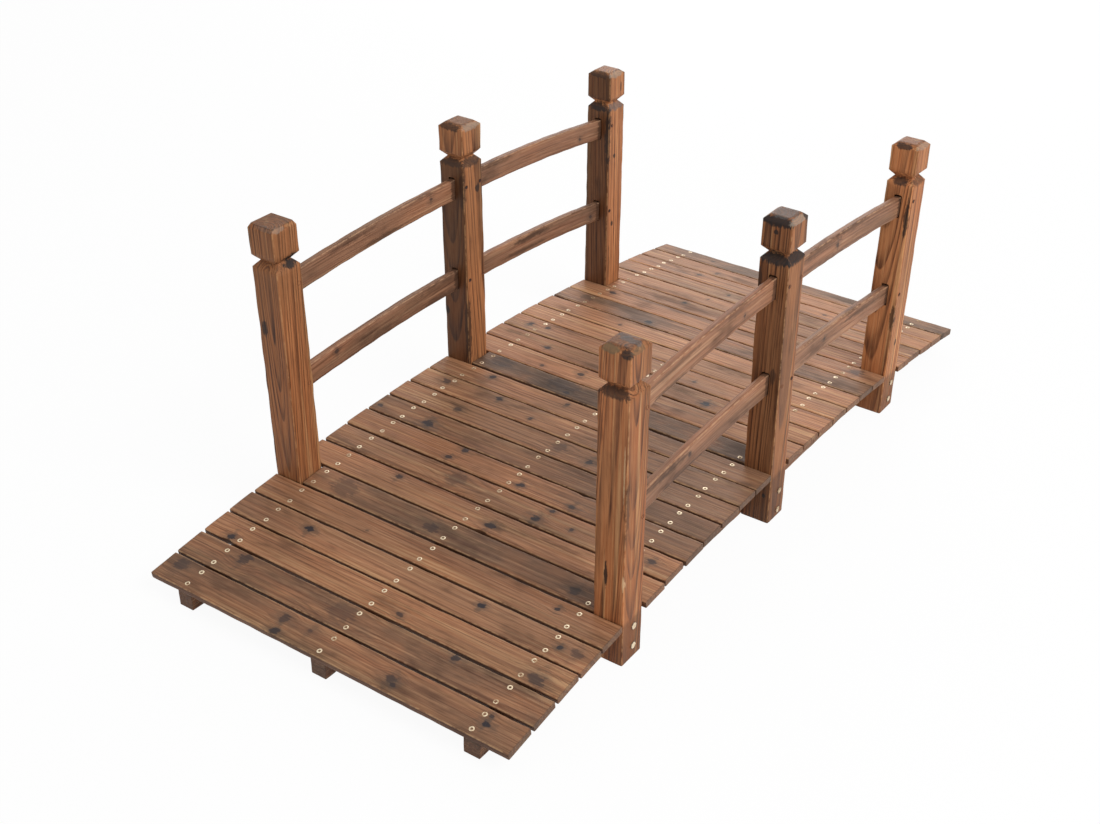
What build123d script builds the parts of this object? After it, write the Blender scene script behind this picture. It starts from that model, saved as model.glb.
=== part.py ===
"""Arched wooden garden bridge: plank deck on three stringers, six posts and two curved rails in each bay.

Frame: millimetres, +Z up, origin on the ground under the middle of the bridge, +X along the walk
from the near end to the far end, +Y to the left of someone who walks that way.
"""

import math
import os

from build123d import *

# Deck
deck_length = 1500.0
deck_width = 690.0
board_count = 27
board_width = 52.0
board_thickness = 12.0
board_edge_radius = 1.6

# Stringers: planks with an arched top edge and a straight foot
stringer_thickness = 28.0
stringer_end_height = 30.0
stringer_inset = 5.0
arch_rise = 58.0
stringer_edge_radius = 1.0
middle_stringer_y = 4.0

# Posts
post_size = 52.0
post_setback = 2.0
post_to_board_gap = 1.0
boards_between_posts = 8
middle_post_height = 557.0
end_post_height = 529.0
cap_side_height = 44.0
cap_chamfer_width = 9.0
worn_cap_chamfer_width = 4.0
cap_chamfer_height = 7.0
groove_height = 21.0
groove_depth = 10.0
post_edge_radius = 1.6

# Rails
rail_depth = 38.0
rail_thickness = 12.0
rail_bow = 5.5
upper_rail_above_deck = 353.0
lower_rail_above_deck = 180.0
rail_lift_at_middle_posts = 5.0
rail_edge_radius = 2.0
tenon_length = 14.0
tenon_end_gap = 0.3
tenon_seat_gap = 0.3
mortise_side_gap = 1.5
mortise_top_gap = 3.0
mortise_corner_radius = 3.5

# Posts stand a little off the middle of their board along the walk, positive towards the far end
post_offset = {"near": -1.5, "middle": -2.0, "far": 0.0}

# Posts lean a little out of true along the walk, in degrees towards the far end
post_lean = {
    "near_left": -0.9,
    "near_right": -0.5,
    "middle_left": -0.5,
    "middle_right": -1.3,
    "far_left": 0.0,
    "far_right": 1.5,
}

# The arch, as circles about one centre below the ground
stringer_half_length = deck_length / 2 - stringer_inset
seat_radius = (stringer_half_length**2 + arch_rise**2) / (2 * arch_rise)
deck_radius = seat_radius + board_thickness
crown_height = stringer_end_height + arch_rise + board_thickness
arch_centre_z = crown_height - deck_radius

# Board spacing, as angles about that centre
deck_half_angle = math.asin(deck_length / 2 / deck_radius)
board_half_angle = math.atan(board_width / 2 / deck_radius)
board_pitch_angle = 2 * (deck_half_angle - board_half_angle) / (board_count - 1)
middle_board = (board_count + 1) // 2

# Sideways places
post_outer_y = deck_width / 2 - post_setback
post_centre_y = post_outer_y - post_size / 2
post_inner_y = post_outer_y - post_size
side_stringer_y = post_inner_y - stringer_thickness / 2

STATIONS = {"near": -1, "middle": 0, "far": 1}
SIDES = {"left": 1, "right": -1}


def deck_z(x):
    """Height of the deck's walking surface at a place along the bridge."""
    return arch_centre_z + math.sqrt(deck_radius**2 - x**2)


def board_angle(number):
    """Angle of a board's centre line about the arch centre, from the crown towards the far end."""
    return (number - middle_board) * board_pitch_angle


def board_plane(number, y):
    """Plane square to the board's length, with its origin on the walking surface and local Y outwards."""
    angle = board_angle(number)
    origin = (deck_radius * math.sin(angle), y, arch_centre_z + deck_radius * math.cos(angle))
    return Plane(origin=origin, x_dir=(math.cos(angle), 0, -math.sin(angle)), z_dir=(0, -1, 0))


def station_x(station):
    """Place along the bridge of a post's centre at deck height, over the board that stops short there."""
    angle = board_angle(middle_board + STATIONS[station] * boards_between_posts)
    return deck_radius * math.sin(angle) + post_offset[station]


def is_short_board(number):
    """True for a board that stops between two posts."""
    return abs(number - middle_board) in (0, boards_between_posts)


def make_board(number):
    """One flat deck board with eased long edges, tangent to the arch."""
    half_length = deck_width / 2
    if is_short_board(number):
        half_length = post_inner_y - post_to_board_gap
    with BuildPart() as board:
        with BuildSketch(board_plane(number, half_length)):
            with Locations((0, -board_thickness / 2)):
                RectangleRounded(board_width, board_thickness, board_edge_radius)
        extrude(amount=2 * half_length)
    return board


def make_stringer(y):
    """One stringer: arched top edge under the boards, straight foot, eased lower edges."""
    crown = stringer_end_height + arch_rise
    with BuildPart() as stringer:
        with BuildSketch(Plane.XZ.offset(-y - stringer_thickness / 2)):
            with BuildLine():
                ThreePointArc(
                    (-stringer_half_length, stringer_end_height),
                    (0, crown),
                    (stringer_half_length, stringer_end_height),
                )
                Polyline(
                    (stringer_half_length, stringer_end_height),
                    (stringer_half_length, 0),
                    (-stringer_half_length, 0),
                    (-stringer_half_length, stringer_end_height),
                )
            make_face()
        extrude(amount=stringer_thickness)
        fillet(stringer.edges().filter_by(Axis.X).group_by(Axis.Z)[0], stringer_edge_radius)
    return stringer


def post_plane(station, side):
    """Plane at a post's foot on the ground, with local Z up the leaning post."""
    lean = math.radians(post_lean[f"{station}_{side}"])
    x = station_x(station)
    foot_x = x - deck_z(x) * math.tan(lean)
    origin = (foot_x, SIDES[side] * post_centre_y, 0)
    forward = (math.cos(lean), 0, -math.sin(lean))
    upward = (math.sin(lean), 0, math.cos(lean))
    return Plane(origin=origin, x_dir=forward, z_dir=upward)


def post_face_x(station, side, direction, z):
    """Place along the bridge of a post's face towards one bay, at a height."""
    plane = post_plane(station, side)
    lean = math.radians(post_lean[f"{station}_{side}"])
    return plane.origin.X + z * math.tan(lean) + direction * post_size / 2 / math.cos(lean)


def rail_seat(station, side, direction, height):
    """Point where a rail's top edge meets a post's face, a little higher at the middle posts."""
    lift = rail_lift_at_middle_posts if station == "middle" else 0
    x = post_face_x(station, side, direction, deck_z(0) + height)
    return Vector(x, SIDES[side] * post_centre_y, deck_z(x) + height + lift)


def rail_curve(near, far, side, height):
    """End points of a rail's top edge at the two post faces, and its middle point."""
    start = rail_seat(near, side, 1, height)
    end = rail_seat(far, side, -1, height)
    middle = (start + end) * 0.5 + Vector(0, 0, rail_bow)
    return start, middle, end


def rail_slopes(start, middle, end):
    """Slope of the rail's top edge at its two ends."""
    span = end.X - start.X
    chord = (end.Z - start.Z) / span
    bend = 4 * rail_bow / span
    return chord + bend, chord - bend


def extended_curve(start, middle, end):
    """The rail's top edge carried on into both mortises, along its end slopes."""
    slope_in, slope_out = rail_slopes(start, middle, end)
    first = start - Vector(tenon_length, 0, tenon_length * slope_in)
    last = end + Vector(tenon_length, 0, tenon_length * slope_out)
    return first, middle, last


def make_rail(near, far, side, height):
    """One bowed rail with eased edges and square-cut ends, long enough to enter both mortises."""
    curve = extended_curve(*rail_curve(near, far, side, height))
    with BuildPart() as rail:
        with BuildLine():
            top = ThreePointArc(*curve)
        with BuildSketch(Plane(origin=top @ 0, x_dir=(0, 1, 0), z_dir=top % 0)):
            with Locations((0, -rail_depth / 2)):
                RectangleRounded(rail_thickness, rail_depth, rail_edge_radius)
        sweep()
    return rail


def bays_of(station):
    """Bays that a post stands at: the two stations and the direction of the bay from this post."""
    bays = []
    if station != "far":
        bays.append((("near", "middle") if station == "near" else ("middle", "far"), 1))
    if station != "near":
        bays.append((("near", "middle") if station == "middle" else ("middle", "far"), -1))
    return bays


def mortise_pocket(station, side, bay, direction, height):
    """Where one rail end enters a post: a plane off its face, the pocket's height and the depth of cut."""
    start, middle, end = rail_curve(*bay, side, height)
    slope_in, slope_out = rail_slopes(start, middle, end)
    face, fall = (start, slope_in) if direction > 0 else (end, -slope_out)
    top = face.Z + mortise_top_gap + max(-fall, 0) * tenon_length
    bottom = face.Z - rail_depth - tenon_seat_gap - max(fall, 0) * tenon_length
    room = post_size / 4
    origin = (face.X + direction * room, face.Y, (top + bottom) / 2)
    plane = Plane(origin=origin, x_dir=(0, 1, 0), z_dir=(-direction, 0, 0))
    return plane, top - bottom, room + tenon_length + tenon_end_gap


def make_post(station, side):
    """One square post with a V groove under its chamfered cap, and a mortise for each rail end."""
    height = middle_post_height if station == "middle" else end_post_height
    chamfer_width = worn_cap_chamfer_width if (station, side) == ("near", "left") else cap_chamfer_width
    chamfer_z = height - cap_chamfer_height
    cap_z = chamfer_z - cap_side_height
    shaft_z = cap_z - groove_height
    neck_z = (shaft_z + cap_z) / 2
    neck_size = post_size - 2 * groove_depth
    pocket_width = rail_thickness + 2 * mortise_side_gap
    top_size = post_size - 2 * chamfer_width
    foot = post_plane(station, side)
    below_ground = post_size / 2
    with BuildPart() as post:
        with BuildSketch(foot.offset(-below_ground)):
            RectangleRounded(post_size, post_size, post_edge_radius)
        extrude(amount=shaft_z + below_ground)
        for low_z, low_size, high_z, high_size in (
            (shaft_z, post_size, neck_z, neck_size),
            (neck_z, neck_size, cap_z, post_size),
            (chamfer_z, post_size, height, top_size),
        ):
            with BuildSketch(foot.offset(low_z)):
                RectangleRounded(low_size, low_size, post_edge_radius)
            with BuildSketch(foot.offset(high_z)):
                RectangleRounded(high_size, high_size, post_edge_radius)
            loft()
        with BuildSketch(foot.offset(cap_z)):
            RectangleRounded(post_size, post_size, post_edge_radius)
        extrude(amount=cap_side_height)
        for bay, direction in bays_of(station):
            for rail_height in (upper_rail_above_deck, lower_rail_above_deck):
                pocket, pocket_height, cut = mortise_pocket(station, side, bay, direction, rail_height)
                with BuildSketch(pocket):
                    RectangleRounded(pocket_width, pocket_height, mortise_corner_radius)
                extrude(amount=cut, mode=Mode.SUBTRACT)
        split(bisect_by=Plane.XY, keep=Keep.TOP)
    return post


def save(piece, label):
    """Names a finished piece and writes it to its own file."""
    piece.part.label = label
    export_step(piece.part, f"parts/{label}.step")


os.makedirs("parts", exist_ok=True)

for number in range(1, board_count + 1):
    save(make_board(number), f"deck_board_{number:02d}")

for name, y in (("left", side_stringer_y), ("middle", middle_stringer_y), ("right", -side_stringer_y)):
    save(make_stringer(y), f"stringer_{name}")

for side in SIDES:
    for station in STATIONS:
        save(make_post(station, side), f"post_{station}_{side}")
    for bay_name, bay in (("near", ("near", "middle")), ("far", ("middle", "far"))):
        save(make_rail(*bay, side, upper_rail_above_deck), f"rail_{bay_name}_{side}_upper")
        save(make_rail(*bay, side, lower_rail_above_deck), f"rail_{bay_name}_{side}_lower")
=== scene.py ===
"""Arched wooden garden bridge: the looks of every timber, screw and bolt, with the studio and the camera.

Metres throughout, +Z up, +X along the walk from the near end to the far end, +Y to the walker's left.
Each timber is shaped in its own frame, x along the grain, y across it and z out of its broad face.
Its vertices keep that straight shape as the attribute "grain", which the wood is drawn in, and are
then bent and set down where its CAD node stands.
"""

from __future__ import annotations

import logging
import math
import random
from dataclasses import dataclass, field, replace
from enum import Enum
from typing import Any, Callable, Iterable, Sequence, Union

import bmesh
import bpy
from mathutils import Euler, Matrix, Vector, noise
from mathutils.bvhtree import BVHTree


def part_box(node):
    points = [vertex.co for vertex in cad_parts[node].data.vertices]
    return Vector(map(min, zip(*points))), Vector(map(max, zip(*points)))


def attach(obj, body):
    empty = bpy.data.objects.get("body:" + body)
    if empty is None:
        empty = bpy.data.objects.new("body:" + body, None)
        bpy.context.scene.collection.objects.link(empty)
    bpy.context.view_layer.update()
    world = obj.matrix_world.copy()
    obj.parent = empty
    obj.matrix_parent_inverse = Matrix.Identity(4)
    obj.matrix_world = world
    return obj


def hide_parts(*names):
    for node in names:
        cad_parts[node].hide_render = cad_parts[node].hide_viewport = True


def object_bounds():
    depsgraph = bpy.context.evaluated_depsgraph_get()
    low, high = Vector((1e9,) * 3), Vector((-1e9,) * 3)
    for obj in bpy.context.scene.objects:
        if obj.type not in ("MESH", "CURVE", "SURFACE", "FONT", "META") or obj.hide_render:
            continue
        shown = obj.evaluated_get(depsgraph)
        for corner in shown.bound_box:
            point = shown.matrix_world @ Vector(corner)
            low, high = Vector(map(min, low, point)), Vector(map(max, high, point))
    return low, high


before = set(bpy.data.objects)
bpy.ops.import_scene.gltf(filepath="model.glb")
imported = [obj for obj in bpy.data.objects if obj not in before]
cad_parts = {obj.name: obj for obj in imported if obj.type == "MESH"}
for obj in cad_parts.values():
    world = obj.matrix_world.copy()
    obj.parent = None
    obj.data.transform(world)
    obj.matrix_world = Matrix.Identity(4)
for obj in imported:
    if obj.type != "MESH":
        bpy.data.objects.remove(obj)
CAD_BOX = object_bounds()

LOG = logging.getLogger("bridge")
MM = 0.001

Colour = tuple[float, float, float]
Place = tuple[float, float, float]
Shape = bmesh.types.BMesh
Corner = bmesh.types.BMVert


def table(rows: Any) -> Any:
    """A dataclass field that holds a table."""
    return field(default_factory=lambda: rows)


class Choice(Enum):
    """A choice that is part of the CAD nodes' names."""

    @property
    def word(self) -> str:
        """The choice as the CAD nodes spell it."""
        return self.name.lower()


class Side(Choice):
    """The two sides of the walk."""

    LEFT = 1
    RIGHT = -1


class Station(Choice):
    """The three places along the walk where posts stand."""

    NEAR = -1
    MIDDLE = 0
    FAR = 1


class Slot(Enum):
    """The record's material slots."""

    DECK = "deck_wood"
    STRINGER = "stringer_wood"
    POST = "post_wood"
    RAIL = "rail_wood"
    SCREW = "screw_brass"


@dataclass(frozen=True)
class Speckle:
    """One kind of noise: features a metre along and across the grain, its place, octaves and roughness."""

    along: float
    across: float
    shift: float = 0.0
    octaves: float = 2.0
    rough: float = 0.5


FIBRE = Speckle(24.0, 620.0, 7.0, 3.0, 0.65)
STREAK = Speckle(1.7, 75.0, 11.0, 2.0, 0.6)
CLOUD = Speckle(7.5, 21.0, 17.0, 3.0, 0.62)
TINT = Speckle(3.4, 11.0, 23.0, 1.0)
VEIN = Speckle(4.5, 230.0, 29.0, 3.0, 0.6)
RAGGED = Speckle(75.0, 150.0, 41.0, 3.0, 0.6)
WANDER = Speckle(2.3, 11.0)
STAIN = Speckle(190.0, 190.0, 3.0, 3.0, 0.6)
BATCH = Speckle(21.0, 21.0, 8.0, 1.0)


def sum_of(operation: str, reflected: bool = False) -> Callable[..., "Sock"]:
    """Writes a method that adds one Math node to a value.

    Args:
        operation: the node's operation.
        reflected: whether the other term comes first.

    Returns:
        The method.
    """

    def method(value: "Sock", other: "Term" = 0.0) -> "Sock":
        """The node on the value and a term."""
        terms = (other, value) if reflected else (value, other)
        return value.book.add("ShaderNodeMath", {"operation": operation}, dict(enumerate(terms)))

    return method


class Sock:
    """A shader value that takes part in Python sums."""

    __add__, __radd__ = sum_of("ADD"), sum_of("ADD", True)
    __sub__, __rsub__ = sum_of("SUBTRACT"), sum_of("SUBTRACT", True)
    __mul__, __rmul__ = sum_of("MULTIPLY"), sum_of("MULTIPLY", True)
    __abs__, fract, root, sine = sum_of("ABSOLUTE"), sum_of("FRACT"), sum_of("SQRT"), sum_of("SINE")
    most, least = sum_of("MAXIMUM"), sum_of("MINIMUM")

    def __init__(self, book: "NodeBook", socket: bpy.types.NodeSocket) -> None:
        """Wraps one output socket of the book's node tree."""
        self.book = book
        self.socket = socket

    def fade(self, start: float, end: float, low: float = 0.0, high: float = 1.0) -> "Sock":
        """Smooth step from low at the start to high at the end, whichever of the two is larger."""
        levels = {"Value": self, "From Min": start, "From Max": end, "To Min": low, "To Max": high}
        return self.book.add("ShaderNodeMapRange", {"interpolation_type": "SMOOTHSTEP"}, levels)


Term = Union[Sock, float]


class NodeBook:
    """One node tree, and the short ways to write in it."""

    MIX_FIRST, MIX_SECOND, MIX_RESULT = 6, 7, 2

    def __init__(self, tree: bpy.types.NodeTree) -> None:
        """Empties the tree."""
        self.tree = tree
        tree.nodes.clear()

    def node(self, kind: str, settings: dict[str, Any], inputs: dict[Any, Any]) -> bpy.types.Node:
        """Adds a node, sets its settings first and then its sockets.

        Args:
            kind: the node's type name.
            settings: attributes of the node.
            inputs: values, wrapped sockets or colours by socket name or number.

        Returns:
            The new node.
        """
        made = self.tree.nodes.new(kind)
        for key, value in settings.items():
            setattr(made, key, value)
        for key, value in inputs.items():
            if isinstance(value, Sock):
                self.tree.links.new(value.socket, made.inputs[key])
            elif isinstance(value, tuple) and made.inputs[key].type == "RGBA":
                made.inputs[key].default_value = (*value, 1.0)
            else:
                made.inputs[key].default_value = value
        return made

    def add(self, kind: str, settings: dict[str, Any], inputs: dict[Any, Any], output: Any = 0) -> Sock:
        """Adds a node and gives one of its outputs."""
        return Sock(self, self.node(kind, settings, inputs).outputs[output])

    def vector(self, operation: str, *terms: Any, output: Any = 0, **more: Any) -> Sock:
        """One Vector Math node, with its vectors in order and its other sockets by name."""
        values = {**dict(enumerate(terms)), **more}
        return self.add("ShaderNodeVectorMath", {"operation": operation}, values, output)

    def blend(self, share: Term, first: Any, second: Any, mode: str = "MIX") -> Sock:
        """Blends two colours; the share is how much of the second one shows."""
        inputs = {0: share, self.MIX_FIRST: first, self.MIX_SECOND: second}
        return self.add("ShaderNodeMix", {"data_type": "RGBA", "blend_type": mode}, inputs, self.MIX_RESULT)

    def layers(self, colour: Any, *over: tuple[Sock, Colour]) -> Any:
        """Lays one colour after another over the first.

        Args:
            colour: the lowest colour.
            over: the others from below, each with how much of it shows.

        Returns:
            The blended colour.
        """
        for share, upper in over:
            colour = self.blend(share, colour, upper)
        return colour

    def speckle(self, place: Sock, kind: Speckle, seed: float = 0.0) -> Sock:
        """Noise drawn out along the grain.

        Args:
            place: coordinates in the piece's own frame.
            kind: the kind of noise.
            seed: shifts the noise so that no two pieces match.

        Returns:
            Noise from 0 to 1.
        """
        shift = seed + kind.shift
        pitch = (kind.along, kind.across, kind.across)
        moved = self.vector("MULTIPLY_ADD", place, pitch, (shift, shift * 1.7, shift * 0.6))
        levels = {"Vector": moved, "Scale": 1.0, "Detail": kind.octaves, "Roughness": kind.rough}
        return self.add("ShaderNodeTexNoise", {"noise_dimensions": "3D"}, levels)

    def own_place(self) -> Sock:
        """Coordinates in the piece's own straight frame."""
        return self.add("ShaderNodeAttribute", {"attribute_name": "grain"}, {}, "Vector")

    def parts(self, vector: Sock) -> list[Sock]:
        """A vector's three numbers."""
        return [Sock(self, out) for out in self.node("ShaderNodeSeparateXYZ", {}, {0: vector}).outputs]

    def show(self, surface: Sock, kind: str = "ShaderNodeOutputMaterial") -> None:
        """Hands a surface to the output node."""
        self.node(kind, {}, {"Surface": surface})

    def coat(self, levels: dict[str, Any], relief: Sock, strength: float, height: float) -> None:
        """Shows a Principled surface, its sockets given by name, with a bump over it."""
        normal = self.add("ShaderNodeBump", {}, {"Strength": strength, "Distance": height, "Height": relief})
        self.show(self.add("ShaderNodeBsdfPrincipled", {}, {**levels, "Normal": normal}))


def new_material(name: str) -> tuple[bpy.types.Material, NodeBook]:
    """Starts an empty material and its book.

    Args:
        name: the material's name.

    Returns:
        The material and the book of its node tree.
    """
    material = bpy.data.materials.new(name)
    material.use_nodes = True
    return material, NodeBook(material.node_tree)


WHITE: Colour = (1.0, 1.0, 1.0)
SOOT: Colour = (0.018, 0.013, 0.012)
TIP_SOOT: Colour = (0.036, 0.027, 0.022)
# Painted shade on the boards' long sides down in the gaps
GAP_SHADE: Colour = (0.06, 0.02, 0.01)
CHARRED: Colour = (0.05, 0.025, 0.015)
INK: Colour = (0.022, 0.018, 0.022)
SMOKE: Colour = (0.085, 0.058, 0.042)
ASH: Colour = (0.13, 0.115, 0.11)
PALE_ASH: Colour = (0.34, 0.27, 0.21)
OLIVE: Colour = (0.17, 0.115, 0.062)
CHIP: Colour = (0.78, 0.52, 0.29)


@dataclass(frozen=True)
class Mark:
    """A ragged stain, knot, scuff or torched patch, in millimetres of its timber's own frame."""

    place: Place
    reach: Place
    colour: Colour = SOOT
    share: float = 0.85
    swirl: float = 0.0
    ragged: float = 1.6
    soft: float = 0.45


def knot(along: float, across: float, size: float, share: float = 0.85, through: float = 6.0) -> list[Mark]:
    """A knot on a broad face: a small dark eye that the grain goes round, in a faint smoky patch.

    Args:
        along: place along the grain, mm.
        across: place across it, mm.
        size: the width of eye and smoke together, mm.
        share: how dark the eye is.
        through: place of the face, mm.

    Returns:
        The smoke, a smear across the grain and the eye.
    """
    rows = (
        (0.95, 0.6, SMOKE, share * 0.5, 0.0, 2.4, 1.1),
        (0.3, 0.9, SMOKE, share * 0.45, 0.0, 2.8, 0.9),
        (0.42, 0.3, INK, min(1.0, share), 0.8, 2.4, 0.5),
    )
    place, deep = (along, across, through), 16.0
    return [Mark(place, (size * long, size * wide, deep), *rest) for long, wide, *rest in rows]


@dataclass(frozen=True)
class WoodTone:
    """The colours of one lot of torched and oiled fir."""

    pale: Colour = (0.465, 0.237, 0.128)
    warm: Colour = (0.33, 0.13, 0.055)
    gold: Colour = (0.66, 0.40, 0.21)
    red: Colour = (0.28, 0.09, 0.038)
    line: Colour = (0.08, 0.029, 0.014)
    grey: Colour = (0.15, 0.098, 0.067)


@dataclass(frozen=True)
class WoodLook:
    """What sets one timber apart from the others of its lot.

    The pith is the tree's centre line, across and through the timber in millimetres, and the slant is
    how far it wanders each way for each metre along. The near shade and tone is the brightness of the
    broad face towards the near end up to the near shade top, partly the wood's own tone and partly
    painted shade and painted light. Below the foot shade height the wood is darker, a painted shade
    under the deck.
    """

    seed: float
    pith: tuple[float, float]
    slant: tuple[float, float] = (0.0, 0.0)
    warmth: float = 0.5
    level: float = 1.0
    greyness: float = 0.0
    marks: Sequence[Mark] = ()
    near_level: float = 1.0
    near_shade_top_mm: float = 1.0e6
    foot_shade_mm: float = 0.0


@dataclass(frozen=True)
class WoodFinish:
    """Torched fir: growth rings about a pith line, fibres, streaks, soot, marks and rubbed edges."""

    tone: WoodTone = WoodTone()
    ring_mm: float = 4.6
    wobble_mm: float = 3.0
    line_depth: float = 0.55
    fibre_depth: float = 0.5
    gold_share: float = 0.4
    red_share: float = 0.4
    soot_level: float = 0.6
    soot_depth: float = 0.55
    # Painted shade on the long sides below the top, down in the gaps between boards
    side_gap_shade: float = 0.0
    end_soot: float = 0.5
    rubbed: float = 0.5
    rubbed_reach: tuple[float, float] = (-2.4 * MM, -0.5 * MM)
    vein_depth: float = 0.5
    rough: float = 0.6
    shine: float = 0.22
    bump: float = 0.45 * MM

    def dress(self, name: str, half: Vector, look: WoodLook) -> bpy.types.Material:
        """Writes the material of one timber.

        Args:
            name: the material's name.
            half: half of the timber's length, width and thickness.
            look: what sets this timber apart.

        Returns:
            The material.
        """
        material, book = new_material(name)
        tone, place = self.tone, book.own_place()
        along, across, through = book.parts(place)
        kinds = (FIBRE, STREAK, CLOUD, TINT, VEIN, RAGGED)
        fibre, streak, cloud, tint, vein, ragged = (book.speckle(place, kind, look.seed) for kind in kinds)
        ragged = ragged - 0.5
        late = self._rings(book, place, look)

        share = (streak.fade(0.38, 0.62) * 0.6 + tint.fade(0.35, 0.65) * 0.4) * (0.5 + look.warmth)
        lines = late * vein.fade(0.3, 0.62, 0.4, 1.0) * cloud.fade(0.36, 0.6, 1.0, 0.55)
        colour = book.layers(
            tone.pale,
            (share.least(1.0), tone.warm),
            (streak.fade(0.53, 0.68) * self.gold_share, tone.gold),
            (streak.fade(0.46, 0.34) * self.red_share, tone.red),
            (cloud.fade(0.3, 0.62) * look.greyness, tone.grey),
            (vein.fade(0.47, 0.3) * self.vein_depth * 0.6, tone.gold),
            (vein.fade(0.54, 0.7) * self.vein_depth, tone.line),
            (lines * self.line_depth, tone.line),
            (fibre.fade(0.5, 0.74) * self.fibre_depth, tone.line),
            (fibre.fade(0.46, 0.24) * self.fibre_depth * 0.45, tone.gold),
        )

        level = tint.fade(0.3, 0.7, 0.8, 1.16) * cloud.fade(0.3, 0.7, 1.08, 0.9) * look.level
        # Painted shade and painted light on the face towards the near end, below the near shade top; partly
        # the wood's own tone
        if look.near_level != 1.0:
            near = (through - half.z).fade(-5.0 * MM, -2.0 * MM)
            near = near * along.fade((look.near_shade_top_mm + 5.0) * MM, (look.near_shade_top_mm - 5.0) * MM)
            level = level * (near * (look.near_level - 1.0) + 1.0)
        # Painted shade under the deck: the wood darker below the foot shade height
        if look.foot_shade_mm:
            foot = along + ragged * (8.0 * MM)
            level = level * foot.fade((look.foot_shade_mm + 12.0) * MM, look.foot_shade_mm * MM, 1.0, 0.6)
        colour = book.blend(1.0, colour, level, "MULTIPLY")

        soot = cloud.fade(self.soot_level, self.soot_level + 0.16) * self.soot_depth
        soot = soot * fibre.fade(0.25, 0.6, 0.55, 1.0)
        over = [(soot, CHARRED)]
        grainy = (0.5 - vein) * 0.5 + (0.5 - fibre) * 0.35
        for mark in look.marks:
            edge = self._far(book, place, mark) + ragged * mark.ragged + grainy
            over.append((edge.fade(1.0 + mark.soft / 2, 1.0 - mark.soft / 2, 0.0, mark.share), mark.colour))

        rim = abs(across) - half.y
        arris = rim.fade(*self.rubbed_reach) * (abs(through) - half.z).fade(*self.rubbed_reach)
        over.append((arris * ragged.fade(-0.12, 0.1) * self.rubbed, tone.gold))
        # Painted shade on the long sides down in the gaps between boards
        if self.side_gap_shade:
            side = rim.fade(-0.9 * MM, -0.1 * MM) * (through - half.z).fade(-0.9 * MM, -2.4 * MM)
            over.append((side * self.side_gap_shade, GAP_SHADE))
        tip = abs(along) - half.x + ragged * (1.6 * MM)
        over.append((tip.fade(-1.9 * MM, -0.7 * MM) * self.end_soot, TIP_SOOT))
        colour = book.layers(colour, *over)

        rough = ((fibre - 0.5) * 0.25 + self.rough - late * 0.06 + soot * 0.15).least(0.95)
        levels = {"Base Color": colour, "Roughness": rough, "Specular IOR Level": self.shine}
        book.coat(levels, late * 0.5 + fibre * 0.7, strength=0.6, height=self.bump)
        return material

    def _rings(self, book: NodeBook, place: Sock, look: WoodLook) -> Sock:
        """Late wood of the growth rings, uneven in width and pushed aside by the knots.

        Args:
            book: the material's node tree.
            place: coordinates in the timber's own frame.
            look: the timber's pith, slant and marks.

        Returns:
            1 on the dark late wood, 0 on the early wood.
        """
        bent = place
        for mark in look.marks:
            if mark.swirl:
                offset = book.vector("SUBTRACT", place, tuple(c * MM for c in mark.place))
                push = self._far(book, place, mark).fade(4.2, 0.6, 0.0, mark.swirl)
                bent = book.vector("SUBTRACT", bent, book.vector("SCALE", offset, Scale=push))
        along, across, through = book.parts(bent)
        sideways = across - along * look.slant[0] - look.pith[0] * MM
        inwards = through - along * look.slant[1] - look.pith[1] * MM
        wander = book.speckle(place, WANDER, look.seed) - 0.5
        radius = (sideways * sideways + inwards * inwards).root() + wander * (2 * self.wobble_mm * MM)
        turns = radius * (1 / self.ring_mm / MM)
        turns = turns + (turns * 1.9 + look.seed).sine() * 0.3 + (turns * 0.73 + look.seed * 2).sine() * 0.3
        ring = turns.fract()
        return ring.fade(0.3, 0.9) * ring.fade(1.0, 0.93)

    @staticmethod
    def _far(book: NodeBook, place: Sock, mark: Mark) -> Sock:
        """Distance from a mark's middle, 1 at its edge."""
        scale, shift = zip(*((1 / MM / reach, -c / reach) for c, reach in zip(mark.place, mark.reach)))
        return book.vector("LENGTH", book.vector("MULTIPLY_ADD", place, scale, shift), output="Value")


@dataclass(frozen=True)
class MetalFinish:
    """Plated or bare steel, dulled in patches, darker towards the middle of the head, a painted shade in a
    screw's cross recess, or darker at its rim.
    """

    bright: Colour = (0.80, 0.66, 0.46)
    dull: Colour = (0.36, 0.22, 0.11)
    # Colour of the middle of the head or of its rim; on the screws it is painted shade in the cross recess
    sunk: Colour = (0.06, 0.024, 0.014)
    sunk_inside: bool = True
    sunk_mm: float = 1.9
    metallic: float = 0.55
    rough: float = 0.42

    def dress(self, name: str) -> bpy.types.Material:
        """Writes the metal's material.

        Args:
            name: the material's name.

        Returns:
            The material.
        """
        material, book = new_material(name)
        where = book.add("ShaderNodeTexCoord", {}, {}, "Object")
        stain, batch = (book.speckle(where, kind) for kind in (STAIN, BATCH))
        dulled = (stain * 0.5 + batch * 0.5).fade(0.47, 0.62)
        colour = book.blend(dulled * 0.85, self.bright, self.dull)
        flat = book.vector("MULTIPLY", book.own_place(), (1.0, 1.0, 0.0))
        radius = book.vector("LENGTH", flat, output="Value")
        # On the screws, painted shade darkens the cross recess in the middle of the head
        step = 0.5 * MM if self.sunk_inside else -0.5 * MM
        sunk = radius.fade(self.sunk_mm * MM + step, self.sunk_mm * MM - step)
        colour = book.blend(sunk * 0.92, colour, self.sunk)
        metallic = (1.0 - sunk) * self.metallic
        levels = {"Base Color": colour, "Roughness": dulled * 0.25 + self.rough, "Metallic": metallic}
        book.coat(levels, stain, strength=0.3, height=0.1 * MM)
        return material


EASE: dict[str, Any] = {"affect": "EDGES", "profile": 0.5, "material": -1}


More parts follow.
